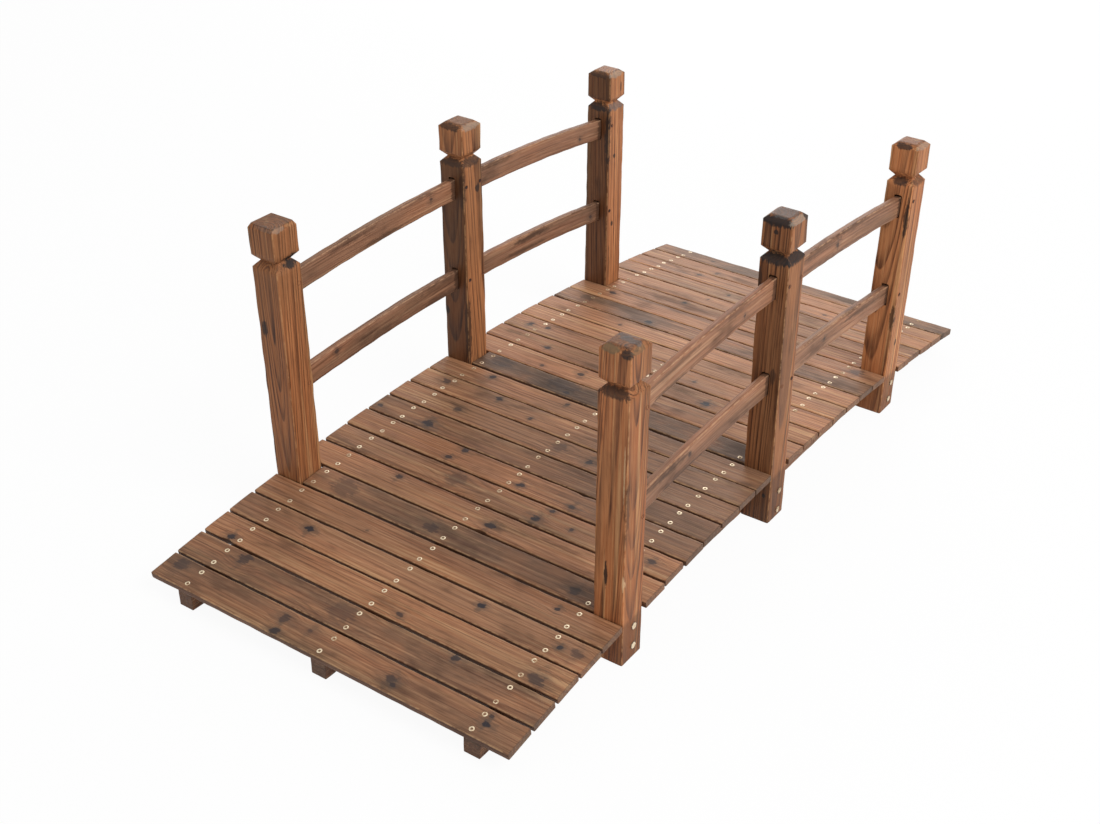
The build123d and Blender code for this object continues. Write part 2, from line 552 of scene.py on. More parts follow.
def grained_mesh() -> Shape:
    """Starts a mesh that can hold each vertex's place in the grain.

    Returns:
        The mesh, still empty.
    """
    shape = bmesh.new()
    shape.verts.layers.float_vector.new("grain")
    return shape


def keep_grain(shape: Shape, vertices: Iterable[Corner]) -> None:
    """Writes where each vertex stands now as its place in the grain.

    Args:
        shape: the mesh.
        vertices: those of its vertices that are meant.
    """
    layer = shape.verts.layers.float_vector.get("grain") or shape.verts.layers.float_vector.new("grain")
    for vertex in vertices:
        vertex[layer] = vertex.co


def cut_across(shape: Shape, axis: int, places: Iterable[float]) -> None:
    """Cuts a shape into strips with parallel planes.

    Args:
        shape: the mesh.
        axis: 0, 1 or 2, square to the planes.
        places: where the planes stand on that axis.
    """
    normal = Vector((0.0, 0.0, 0.0))
    normal[axis] = 1.0
    for place in places:
        geometry = [*shape.verts, *shape.edges, *shape.faces]
        bmesh.ops.bisect_plane(shape, geom=geometry, dist=1e-6, plane_co=normal * place, plane_no=normal)


def spread(start: float, end: float, step: float) -> list[float]:
    """Even places between two ends, ends left out."""
    count = max(1, round((end - start) / step))
    return [start + (end - start) * k / count for k in range(1, count)]


def seat(origin: Sequence[float], *axes: Vector) -> Matrix:
    """A frame from its origin and its three axes."""
    return Matrix.Translation(origin) @ Matrix(axes).transposed().to_4x4()


def stand(name: str, data: Any) -> bpy.types.Object:
    """Puts a new object into the scene.

    Args:
        name: the object's name.
        data: its lamp or its camera, or the shape of its mesh, which is used up.

    Returns:
        The object.
    """
    if isinstance(data, Shape):
        shape, data = data, bpy.data.meshes.new(name)
        shape.to_mesh(data)
        shape.free()
    thing = bpy.data.objects.new(name, data)
    bpy.context.scene.collection.objects.link(thing)
    return thing


def add_piece(
    name: str,
    shape: Shape,
    material: bpy.types.Material,
    nodes: Sequence[str] = (),
    crisp_deg: float = 32.0,
) -> None:
    """Makes a finished piece of a mesh that is already in place, held inside the whole part's box.

    Args:
        name: the piece's name.
        shape: its mesh, which is used up.
        material: its material.
        nodes: CAD nodes that it stands for.
        crisp_deg: edges sharper than this stay crisp.
    """
    for vertex in shape.verts:
        for axis, (low, high) in enumerate(zip(*CAD_BOX)):
            vertex.co[axis] = min(max(vertex.co[axis], low), high)
    piece = stand(name, shape)
    piece.data.materials.append(material)
    piece.data.shade_smooth()
    piece.data.set_sharp_from_angle(angle=math.radians(crisp_deg))
    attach(piece, "root")
    if nodes:
        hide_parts(*nodes)
    LOG.info("%s: %d faces", name, len(piece.data.polygons))


@dataclass
class Timber:
    """One sawn length of fir, shaped in its own frame."""

    half: Vector
    seed: float
    arris: float = 1.6 * MM
    sway: float = 0.45 * MM
    wear: float = 0.8 * MM
    wear_reach: float = 3.0 * MM

    def blank(self, length_step: float, side_cuts: Sequence[float]) -> Shape:
        """Saws the blank with eased edges and cuts it into strips.

        Args:
            length_step: distance between the cuts along it.
            side_cuts: places of the cuts across its width.

        Returns:
            The mesh in the timber's own frame.
        """
        shape = bmesh.new()
        bmesh.ops.create_cube(shape, size=2.0)
        bmesh.ops.scale(shape, vec=self.half, verts=shape.verts)
        long_edges = [e for e in shape.edges if abs(e.verts[0].co.x - e.verts[1].co.x) > self.half.x]
        bmesh.ops.bevel(shape, geom=long_edges, offset=self.arris, segments=3, **EASE)
        tip_edges = dict.fromkeys(e for f in shape.faces if abs(f.normal.x) > 0.9 for e in f.edges)
        bmesh.ops.bevel(shape, geom=list(tip_edges), offset=self.arris * 0.5, segments=1, **EASE)
        cut_across(shape, 0, spread(-self.half.x, self.half.x, length_step))
        cut_across(shape, 1, side_cuts)
        return shape

    def weather(self, shape: Shape) -> None:
        """Notes the grain, leaves the saw's sway on the faces and rubs the long edges down unevenly.

        Args:
            shape: the mesh in the timber's own frame.
        """
        keep_grain(shape, shape.verts)
        elsewhere = Vector((0.0, 7.3, 2.1))
        for vertex in shape.verts:
            spot = vertex.co
            slow = Vector((spot.x * 5.0 + self.seed, spot.y * 22.0, spot.z * 22.0))
            quick = Vector((spot.x * 40.0 + self.seed * 3.0, spot.y * 60.0, spot.z * 60.0))
            near_y = max(0.0, 1.0 - (self.half.y - abs(spot.y)) / self.wear_reach)
            near_z = max(0.0, 1.0 - (self.half.z - abs(spot.z)) / self.wear_reach)
            rub = near_y * near_z * self.wear * max(0.0, 0.35 + noise.noise(quick))
            spot.y += noise.noise(slow) * self.sway - math.copysign(rub, spot.y)
            spot.z += noise.noise(slow + elsewhere) * self.sway - math.copysign(rub, spot.z)


@dataclass
class Arch:
    """The circle that the boards lie on."""

    deck_length: float = 1.5
    stringer_inset: float = 0.005
    rise: float = 0.058
    end_height: float = 0.03
    board_thickness: float = 0.012
    board_width: float = 0.052
    board_count: int = 27

    def __post_init__(self) -> None:
        """Works out the circle's radius and centre, the crown's board and the angle between boards."""
        half = self.deck_length / 2 - self.stringer_inset
        self.deck_radius = (half**2 + self.rise**2) / (2 * self.rise) + self.board_thickness
        self.centre_z = self.end_height + self.rise + self.board_thickness - self.deck_radius
        self.middle_board = (self.board_count + 1) // 2
        deck_half = math.asin(self.deck_length / 2 / self.deck_radius)
        board_half = math.atan(self.board_width / 2 / self.deck_radius)
        self.pitch = 2 * (deck_half - board_half) / (self.board_count - 1)

    def deck_z(self, x: float) -> float:
        """Height of the walking surface at a place along the walk."""
        return self.centre_z + math.sqrt(self.deck_radius**2 - x**2)

    def board_frame(self, number: int) -> Matrix:
        """A board's own frame: x to the walker's right, y towards the far end, z out of its top face.

        Args:
            number: the board, from 1 at the near end.

        Returns:
            The frame, with its origin in the middle of the board.
        """
        angle = (number - self.middle_board) * self.pitch
        out = Vector((math.sin(angle), 0.0, math.cos(angle)))
        forth = Vector((math.cos(angle), 0.0, -math.sin(angle)))
        origin = Vector((0.0, 0.0, self.centre_z)) + out * (self.deck_radius - self.board_thickness / 2)
        return seat(origin, forth.cross(out), forth, out)


ARCH = Arch()


# Knots and burns that show on each board: left of the middle, ahead of it, size in mm, darkness
DECK_KNOTS: dict[int, Sequence[tuple[float, float, float, float]]] = {
    1: [
        (93, 8, 24, 0.6), (42, 8, 16, 0.45), (89, -19, 18, 0.8), (-121, -3, 22, 0.65),
        (-130, -9, 12, 0.7), (316, 12, 34, 0.5), (-287, 0, 16, 0.95), (-285, 16, 11, 0.7),
    ],
    2: [(237, 15, 30, 0.6), (29, 5, 62, 0.3), (-176, 20, 18, 0.8)],
    3: [(293, -18, 18, 0.9), (-49, -12, 15, 0.7), (-299, -13, 30, 0.6)],
    4: [(197, 5, 19, 0.95), (-142, 10, 14, 0.95), (-290, 0, 11, 0.95), (-318, 1, 26, 0.45)],
    5: [(-242, 6, 12, 0.85), (118, -6, 10, 0.4)],
    6: [(222, 2, 60, 0.35), (35, -6, 34, 0.5), (-241, -5, 24, 0.6)],
    7: [(-41, -8, 22, 0.85), (164, 13, 16, 0.75), (-300, 4, 12, 0.4)],
    8: [
        (-89, -11, 21, 0.9), (82, 3, 46, 0.35), (-103, 20, 12, 0.75), (-155, -3, 10, 0.7),
        (-304, 0, 18, 0.7),
    ],
    9: [(118, 18, 18, 0.8), (130, -11, 13, 0.8), (-17, -9, 16, 0.85), (-123, -12, 15, 0.8)],
    10: [(222, -7, 26, 0.85), (332, -9, 13, 0.7)],
    11: [(-75, -4, 18, 0.8), (-8, 4, 34, 0.4), (210, 0, 18, 0.55)],
    12: [(170, 14, 15, 0.85), (86, -9, 11, 0.7), (287, 9, 24, 0.6)],
    13: [(227, 12, 15, 0.85), (60, 12, 12, 0.7)],
    14: [(245, 10, 52, 0.4), (106, 10, 70, 0.4), (86, -12, 14, 0.7)],
    15: [(101, 1, 18, 0.8), (180, -12, 11, 0.6)],
    16: [(-137, -8, 21, 0.95), (214, -6, 14, 0.8)],
    17: [(298, -2, 17, 0.75)],
    18: [(-10, 6, 12, 0.6), (129, -20, 10, 0.6)],
    20: [(124, -11, 20, 0.85), (285, 8, 40, 0.35)],
    21: [(259, 8, 17, 0.8), (-296, 6, 34, 0.5)],
    25: [(184, 8, 14, 0.7), (-120, 0, 12, 0.5)],
    26: [(160, -10, 18, 0.5), (40, 6, 10, 0.4)],
}


@dataclass
class Deck:
    """Twenty-seven flat boards laid round the arch, some stopping short between two posts."""

    half_width: float = 0.345
    short_half_width: float = 0.290
    short_boards: tuple[int, ...] = (6, 14, 22)
    dim_patch_boards: range = range(9, 14)
    creep: float = 2.8 * MM
    length_step: float = 9 * MM
    side_cuts: Sequence[float] = tuple(c * MM for c in (-21, -13, -4, 4, 13, 21))
    notch_half_width: float = 8 * MM
    seed: int = 11
    seed_step: float = 3.7
    grey_boards: dict[int, float] = table(
        {1: 0.4, 2: 0.55, 6: 0.6, 8: 0.25, 10: 0.35, 14: 0.8, 20: 0.6, 24: 0.35, 27: 0.8}
    )
    # Brightness of each board, partly its own tone; boards 17 to 26 are about a fifth lighter, a painted
    # sheen on the far deck
    levels: dict[int, float] = table({
        1: 0.86, 2: 0.84, 3: 0.94, 4: 0.98, 5: 0.92, 6: 0.82, 7: 1.08, 8: 0.92, 9: 0.95, 10: 0.84, 11: 0.9,
        14: 0.86, 17: 1.18, 18: 1.22, 19: 1.2, 20: 1.0, 21: 1.2, 22: 1.16, 23: 1.24, 24: 1.18, 25: 1.28,
        26: 1.18, 27: 0.9,
    })
    steps_mm: dict[int, float] = table(
        {1: 1.0, 2: -0.9, 4: -0.8, 5: -0.9, 9: 0.4, 10: -0.4, 13: -1.0, 14: 0.9, 17: 0.5}
    )
    notches: dict[int, Place] = table(
        {3: (-0.293, -1.0, 2.6 * MM), 7: (0.036, -1.0, 4.0 * MM), 9: (0.121, 1.0, 2.4 * MM)}
    )
    finish: WoodFinish = WoodFinish(
        gold_share=0.5, line_depth=0.5, soot_level=0.54, soot_depth=0.5, side_gap_shade=0.65
    )

    def spot(self, number: int) -> Matrix:
        """Where a board lies, a little further along the arch than its even place.

        Args:
            number: the board, from 1 at the near end.

        Returns:
            The board's own frame.
        """
        share = (number - ARCH.middle_board) / (ARCH.middle_board - 1)
        step = self.steps_mm.get(number, 0.0) * MM
        ahead = self.creep * (1.0 - share**4) + step * (1.0 - abs(share) ** 12)
        return ARCH.board_frame(number) @ Matrix.Translation((0.0, ahead, 0.0))

    def build(self) -> None:
        """Makes every board."""
        draw = random.Random(self.seed)
        for number in range(1, ARCH.board_count + 1):
            spots = DECK_KNOTS.get(number, ())
            marks = [mark for y, ahead, size, dark in spots for mark in knot(-y, ahead, size, dark)]
            self._board(number, marks, draw)

    def _board(self, number: int, marks: list[Mark], draw: random.Random) -> None:
        """Shapes, places and dresses one board.

        Args:
            number: the board, from 1 at the near end.
            marks: its knots and burns.
            draw: gives the chance differences between boards.
        """
        short = number in self.short_boards
        half_length = self.short_half_width if short else self.half_width
        half = Vector((half_length, ARCH.board_width / 2, ARCH.board_thickness / 2))
        timber = Timber(half, number * self.seed_step)
        shape = timber.blank(self.length_step, self.side_cuts)
        timber.weather(shape)
        cup = draw.uniform(-0.35, 0.5) * MM
        skew = draw.uniform(-0.012, 0.012)
        pull_in = 0.0 if short else draw.uniform(0.0, 1.8) * MM
        notch_at, notch_edge, notch_depth = self.notches.get(number, (0.0, 1.0, 0.0))
        for vertex in shape.verts:
            spot = vertex.co
            spot.z += cup * ((spot.y / half.y) ** 2 - 0.5)
            spot.x += spot.y * skew * (spot.x / half.x)
            spot.x -= math.copysign(pull_in, spot.x) * (spot.x / half.x) ** 2
            if spot.y * notch_edge > half.y - 5 * MM:
                share = math.exp(-(((spot.x - notch_at) / self.notch_half_width) ** 2))
                spot.y -= notch_edge * notch_depth * share
        if len(marks) < 6:
            for _ in range(2):
                along, across = draw.uniform(-0.9, 0.9) * half.x / MM, draw.uniform(-20, 20)
                marks = marks + knot(along, across, draw.uniform(7, 13), draw.uniform(0.4, 0.75))
        # A broad darker patch over the right part of each of these boards
        if number in self.dim_patch_boards:
            marks = [*marks, Mark((250.0, 0.0, 6.0), (150.0, 60.0, 16.0), SMOKE, 0.4, soft=1.2)]
        look = WoodLook(
            seed=timber.seed,
            pith=(draw.choice((-1, 1)) * draw.uniform(4, 70), draw.uniform(-60, -14)),
            slant=(draw.uniform(-0.03, 0.03), draw.uniform(-0.03, 0.03)),
            warmth=draw.uniform(0.25, 0.65),
            level=self.levels.get(number, draw.uniform(0.95, 1.08)),
            greyness=self.grey_boards.get(number, draw.uniform(0.0, 0.25)),
            marks=marks,
        )
        material = self.finish.dress(f"board_wood_{number:02d}", half, look)
        shape.transform(self.spot(number))
        add_piece(f"board_{number:02d}", shape, material, [f"deck_board_{number:02d}"])


class NodeSurface:
    """Reads where a CAD node's surface is."""

    def __init__(self, node: str) -> None:
        """Builds the search tree of the node's mesh."""
        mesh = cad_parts[node].data
        faces = [tuple(p.vertices) for p in mesh.polygons]
        self.tree = BVHTree.FromPolygons([v.co for v in mesh.vertices], faces)

    def heights(self, x: float, y: float) -> list[float]:
        """Heights of the node's underside and top at a place in plan."""
        rays = ((-1.0, 1.0), (2.0, -1.0))
        return [self.tree.ray_cast(Vector((x, y, start)), Vector((0, 0, way)))[0].z for start, way in rays]


@dataclass
class CurvedTimbers:
    """Sawn timbers that run along the walk on edge and follow a curve: the stringers and the rails."""

    tip_inset: float = 0.5 * MM
    seed: int = 29
    stringer_seed: float = 60.0
    rail_seed: float = 80.0
    rail_seed_step: float = 2.3
    stringer_finish: WoodFinish = WoodFinish(
        tone=WoodTone(pale=(0.30, 0.13, 0.062), warm=(0.21, 0.075, 0.032)), soot_level=0.5, soot_depth=0.75
    )
    rail_finish: WoodFinish = WoodFinish(
        tone=WoodTone(pale=(0.40, 0.205, 0.12), warm=(0.27, 0.11, 0.052), gold=(0.52, 0.31, 0.18)),
        ring_mm=4.0,
        soot_level=0.58,
        soot_depth=0.6,
        rubbed=0.65,
    )

    def build(self) -> None:
        """Makes the three stringers and the eight rails."""
        draw = random.Random(self.seed)
        for number, word in enumerate(("left", "middle", "right")):
            seed = self.stringer_seed + number
            self._timber(f"stringer_{word}", f"bearer_{word}", Slot.STRINGER, seed, draw)
        rails = [f"{b}_{s.word}_{v}" for s in Side for b in ("near", "far") for v in ("upper", "lower")]
        for number, words in enumerate(rails):
            seed = self.rail_seed + self.rail_seed_step * number
            self._timber(f"rail_{words}", f"handrail_{words}", Slot.RAIL, seed, draw)

    def _timber(self, node: str, name: str, slot: Slot, seed: float, draw: random.Random) -> None:
        """Shapes one timber to its CAD node's curve, places and dresses it.

        Args:
            node: the CAD node that it stands for.
            name: the piece's name.
            slot: its material slot, read here only to tell whether it is a rail.
            seed: sets its grain apart.
            draw: gives the chance differences between timbers.
        """
        is_rail = slot is Slot.RAIL
        low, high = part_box(node)
        surface = NodeSurface(node)
        middle = (low + high) / 2
        first, last = low.x + self.tip_inset, high.x - self.tip_inset
        ends = [surface.heights(x, middle.y) for x in (first, middle.x, last)]
        depth = max(top - bottom for bottom, top in ends)
        half = Vector(((high.x - low.x) / 2, depth / 2, (high.y - low.y) / 2))
        step, arris = (8 * MM, 2.0 * MM) if is_rail else (12 * MM, 1.0 * MM)
        timber = Timber(half, seed, arris=arris, wear=0.9 * MM)
        shape = timber.blank(step, spread(-half.y, half.y, step))
        timber.weather(shape)
        for vertex in shape.verts:
            x = min(max(middle.x + vertex.co.x, first), last)
            bottom, top = surface.heights(x, middle.y)
            vertex.co.y = bottom + (top - bottom) * (vertex.co.y + half.y) / (2 * half.y) - middle.z
        marks = self._burns(half, draw) if is_rail else []
        look = WoodLook(
            seed=seed,
            pith=(draw.uniform(-40, 40), draw.choice((-1, 1)) * draw.uniform(18, 60)),
            slant=(draw.uniform(-0.03, 0.03), draw.uniform(-0.03, 0.03)),
            warmth=draw.uniform(0.3, 0.7),
            greyness=draw.uniform(0.1, 0.4),
            marks=marks,
        )
        finish = self.rail_finish if is_rail else self.stringer_finish
        material = finish.dress(f"{name}_wood", half, look)
        shape.transform(seat(middle, Vector((1, 0, 0)), Vector((0, 0, 1)), Vector((0, -1, 0))))
        add_piece(name, shape, material, [node])

    @staticmethod
    def _burns(half: Vector, draw: random.Random) -> list[Mark]:
        """Marks of one rail: darker ends where it enters the posts, long streaks and a knot.

        Args:
            half: half of the rail's length, depth and thickness.
            draw: gives the chance differences between rails.

        Returns:
            The marks.
        """
        length, depth, face = (c / MM for c in half)
        marks = []
        # Both ends darker where the rail goes into its posts
        for end in (-1, 1):
            place, share = (end * (length - 8.0), 0.0, 0.0), draw.uniform(0.6, 0.85)
            marks.append(Mark(place, (16.0, 60.0, 30.0), CHARRED, share, ragged=0.8, soft=0.25))
        for side in (-1, 1, 1):
            place = (draw.uniform(-0.8, 0.8) * length, side * draw.uniform(0.4, 0.95) * depth, face)
            reach = (draw.uniform(30, 70), draw.uniform(3, 7), 8.0)
            marks.append(Mark(place, reach, CHARRED, draw.uniform(0.35, 0.65), ragged=2.2, soft=1.0))
        eye = knot(draw.uniform(-0.8, 0.8) * length, draw.uniform(-12, 12), draw.uniform(8, 13), 0.6, face)
        return [*marks, *eye]


POST_FACE_MM = 24.0
MARK_DEPTH_MM = 8.0


def on_near(
    z: float, left: float, tall: float, wide: float, colour: Colour = SOOT, share: float = 0.85
) -> Mark:
    """A mark on a post's face towards the near end: its height, place and half sizes in mm."""
    return Mark((z, left, POST_FACE_MM), (tall, wide, MARK_DEPTH_MM), colour, share)


def on_right(
    z: float, ahead: float, tall: float, wide: float, colour: Colour = SOOT, share: float = 0.85
) -> Mark:
    """A mark on a post's face towards the walker's right: its height, place and half sizes in mm."""
    return Mark((z, -POST_FACE_MM, -ahead), (tall, MARK_DEPTH_MM, wide), colour, share)


# Piths, tones and marks of the six posts. Each post's level is partly its own tone and partly painted light
# and shade for how the light falls on it; its near shade and tone paints shade and light on the face towards
# the near end, partly its own tone; its foot shade height paints shade under the deck.
POST_LOOKS: dict[tuple[Station, Side], WoodLook] = {
    (Station.NEAR, Side.LEFT): WoodLook(
        seed=121.0, pith=(-4.0, 50.0), slant=(0.0, -0.05), level=0.9, near_level=0.95, foot_shade_mm=70.0,
        marks=(
            on_near(353, 14, 13, 6), on_near(125, 27, 40, 5, CHARRED),
            on_near(250, 26, 45, 3, CHARRED, 0.7), on_right(468, 9, 12, 17, SOOT, 0.95),
            on_right(525, -14, 4, 12, PALE_ASH, 0.4), on_near(526, -6, 4, 17, ASH, 0.35),
            on_near(505, 27, 22, 4, CHARRED, 0.7),
        ),
    ),
    (Station.NEAR, Side.RIGHT): WoodLook(
        seed=126.0, pith=(17.0, 8.0), slant=(-0.06, 0.0), warmth=0.85, level=0.85,
        near_level=1.34, foot_shade_mm=70.0,
        marks=(
            on_near(524, -19, 7, 9), on_near(525, 8, 6, 13, OLIVE, 0.8),
            on_near(462, 0, 10, 27, CHARRED), on_near(158, 6, 22, 3, SOOT, 0.9),
            on_right(524, -4, 4, 15, OLIVE, 0.5), Mark((529.0, -6.0, -4.0), (4.0, 18.0, 6.0), ASH, 0.7),
            Mark((529.0, 10.0, -10.0), (4.0, 14.0, 4.0), ASH, 0.6),
            on_near(150, -24, 14, 1.8, CHIP, 0.8), on_near(335, -21, 45, 1.3, CHIP, 0.5),
            on_right(280, -22, 45, 4, CHARRED, 0.6), on_near(400, 24, 60, 7, CHARRED, 0.4),
        ),
    ),
    (Station.MIDDLE, Side.LEFT): WoodLook(
        seed=131.0, pith=(3.0, -40.0), slant=(0.0, 0.055), warmth=0.6, level=1.14,
        near_level=0.36, near_shade_top_mm=500.0, foot_shade_mm=80.0,
        marks=(
            on_near(552, 2, 6, 22, CHARRED), on_right(552, 0, 6, 22, PALE_ASH, 0.6),
            on_near(489, 0, 8, 26, CHARRED, 0.9), on_right(489, 0, 8, 26, CHARRED, 0.8),
            on_right(436, 11, 8, 6, SOOT, 0.85), on_near(198, 22, 9, 6),
            on_near(440, -22, 40, 5, CHARRED, 0.8), on_near(170, -24, 70, 5, CHARRED, 0.8),
        ),
    ),
    (Station.MIDDLE, Side.RIGHT): WoodLook(
        seed=136.0, pith=(30.0, 6.0), slant=(-0.03, 0.0), warmth=0.6, level=0.86,
        near_level=0.78, foot_shade_mm=85.0,
        marks=(
            on_near(552, 0, 9, 32, SOOT, 0.95), on_right(552, 0, 5, 26, PALE_ASH, 0.6),
            on_right(551, 20, 7, 6), Mark((557.0, 0.0, 0.0), (3.0, 22.0, 22.0), ASH, 0.55),
            on_near(490, 0, 11, 34, SOOT, 0.92), on_right(490, 0, 11, 34, SOOT, 0.92),
            on_near(534, 1, 4, 3.5, SOOT, 0.9), on_near(286, -13, 16, 5, CHARRED, 0.7),
            on_near(450, 24, 16, 6, CHARRED, 0.8), on_near(54, -14, 4, 3, SOOT, 0.9),
        ),
    ),
    (Station.FAR, Side.LEFT): WoodLook(
        seed=141.0, pith=(-34.0, -22.0), slant=(0.0, 0.03), warmth=0.2, level=1.22,
        near_level=0.31, foot_shade_mm=70.0,
        marks=(
            on_near(525, 0, 6, 26, CHARRED), on_right(525, 0, 6, 24, PALE_ASH, 0.65),
            on_near(462, 4, 10, 24, SOOT, 0.9), on_right(462, 0, 9, 24, ASH, 0.7),
            on_right(360, -6, 5, 4), on_right(215, -8, 6, 4), on_right(498, 12, 11, 2.2, SOOT, 0.8),
            on_near(405, -22, 60, 5, SOOT, 0.8), on_right(120, -16, 60, 3, CHARRED, 0.5),
        ),
    ),
    (Station.FAR, Side.RIGHT): WoodLook(
        seed=146.0, pith=(8.0, -46.0), slant=(0.02, 0.04), warmth=0.6, level=1.12,
        near_level=1.15, foot_shade_mm=70.0,
        marks=(
            on_near(525, 3, 6, 15, SOOT, 0.85), on_near(462, 0, 9, 15, SOOT, 0.8),
            on_right(462, 0, 9, 24, CHARRED, 0.6), on_right(143, -2, 6, 4),
            on_near(396, -21, 32, 5, SOOT, 0.8), on_near(200, -22, 24, 5, CHARRED, 0.8),
            on_right(525, 0, 5, 24, PALE_ASH, 0.5),
        ),
    ),
}


@dataclass
class Posts:
    """Six square posts with grooved necks, chamfered caps and a mortise for each rail end."""

    size: float = 0.052
    centre_y: float = 0.317
    boards_from_middle: int = 8
    heights: dict[Station, float] = table(dict(zip(Station, (0.529, 0.557, 0.529))))
    offsets_mm: dict[Station, float] = table(dict(zip(Station, (-1.5, -2.0, 0.0))))
    leans_deg: dict[Side, dict[Station, float]] = table({
        Side.LEFT: dict(zip(Station, (-0.9, -0.5, 0.0))),
        Side.RIGHT: dict(zip(Station, (-0.5, -1.3, 1.5))),
    })
    length_step: float = 9 * MM
    side_cuts: Sequence[float] = tuple(c * MM for c in (-20.0, -12.0, 0.0, 12.0, 20.0))
    finish: WoodFinish = WoodFinish(
        tone=WoodTone(
            pale=(0.50, 0.215, 0.088), warm=(0.34, 0.115, 0.040), gold=(0.62, 0.34, 0.155),
            red=(0.23, 0.066, 0.022), line=(0.045, 0.014, 0.007),
        ),
        ring_mm=5.0,
        wobble_mm=3.6,
        gold_share=0.6,
        line_depth=1.0,
        vein_depth=0.4,
        fibre_depth=0.45,
        soot_level=0.62,
        soot_depth=0.6,
        end_soot=0.4,
        rubbed=0.4,
    )

    def spot(self, station: Station, side: Side) -> Matrix:
        """A post's own frame: x up the post, y to the walker's left, z towards the near end.

        Args:
            station: its place along the walk.
            side: its side of the walk.

        Returns:
            The frame, with its origin at the middle of the foot.
        """
        lean = math.radians(self.leans_deg[side][station])
        x = ARCH.deck_radius * math.sin(station.value * self.boards_from_middle * ARCH.pitch)
        x += self.offsets_mm[station] * MM
        foot = Vector((x - ARCH.deck_z(x) * math.tan(lean), side.value * self.centre_y, 0.0))
        up = Vector((math.sin(lean), 0.0, math.cos(lean)))
        left = Vector((0.0, 1.0, 0.0))
        return seat(foot, up, left, up.cross(left))

    def build(self) -> None:
        """Makes every post."""
        for (station, side), look in POST_LOOKS.items():
            self._post(station, side, look)

    def _post(self, station: Station, side: Side, look: WoodLook) -> None:
        """Takes a post's form from its CAD node, roughens and dresses it.

        Args:
            station: its place along the walk.
            side: its side of the walk.
            look: its wood.
        """
        words = f"{station.word}_{side.word}"
        spot = self.spot(station, side)
        shape = bmesh.new()
        shape.from_mesh(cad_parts[f"post_{words}"].data)
        bmesh.ops.remove_doubles(shape, verts=shape.verts, dist=2e-6)
        bmesh.ops.dissolve_limit(shape, angle_limit=math.radians(0.05), verts=shape.verts, edges=shape.edges)
        shape.transform(spot.inverted())
        cut_across(shape, 0, spread(0.0, self.heights[station], self.length_step))
        for axis in (1, 2):
            cut_across(shape, axis, self.side_cuts)
        half = Vector((self.heights[station], self.size / 2, self.size / 2))
        Timber(half, look.seed, sway=0.5 * MM, wear=1.1 * MM).weather(shape)
        material = self.finish.dress(f"post_{words}_wood", half, look)
        shape.transform(spot)
        add_piece(f"newel_{words}", shape, material, [f"post_{words}"])


def add_bar(shape: Shape, sides: int, foot: float, head: float, depth: float, z: float) -> list[Corner]:
    """Adds a closed bar that stands on end to a mesh.

    Args:
        shape: the mesh.
        sides: how many sides it has.
        foot: its radius at the lower end.
        head: its radius at the upper end.
        depth: its length.
        z: height of its middle.

    Returns:
        Its vertices.
    """
    form = {"cap_ends": True, "segments": sides, "radius1": foot, "radius2": head}
    made = bmesh.ops.create_cone(shape, depth=depth, **form)["verts"]
    bmesh.ops.translate(shape, verts=made, vec=(0.0, 0.0, z))
    return made


def faces_of(vertices: Iterable[Corner]) -> list[bmesh.types.BMFace]:
    """Every face at some vertices, once."""
    return list(dict.fromkeys(face for vertex in vertices for face in vertex.link_faces))


def lid_of(vertices: Iterable[Corner]) -> bmesh.types.BMFace:
    """The highest of the faces at some vertices."""
    return max(faces_of(vertices), key=lambda face: face.calc_center_median().z)


def island(face: bmesh.types.BMFace) -> list[Corner]:
    """Every vertex joined to a face.

    Args:
        face: where the search starts.

    Returns:
        The vertices.
    """
    seen: dict[Corner, None] = {}
    waiting = list(face.verts)
    while waiting:
        vertex = waiting.pop()
        if vertex not in seen:
            seen[vertex] = None
            waiting.extend(e.other_vert(vertex) for e in vertex.link_edges)
    return list(seen)


def set_down(shape: Shape, vertices: list[Corner], spot: Matrix) -> None:
    """Notes the grain of a part of a mesh that was made at the origin, and moves it to its spot."""
    keep_grain(shape, vertices)
    bmesh.ops.transform(shape, matrix=spot, verts=vertices)


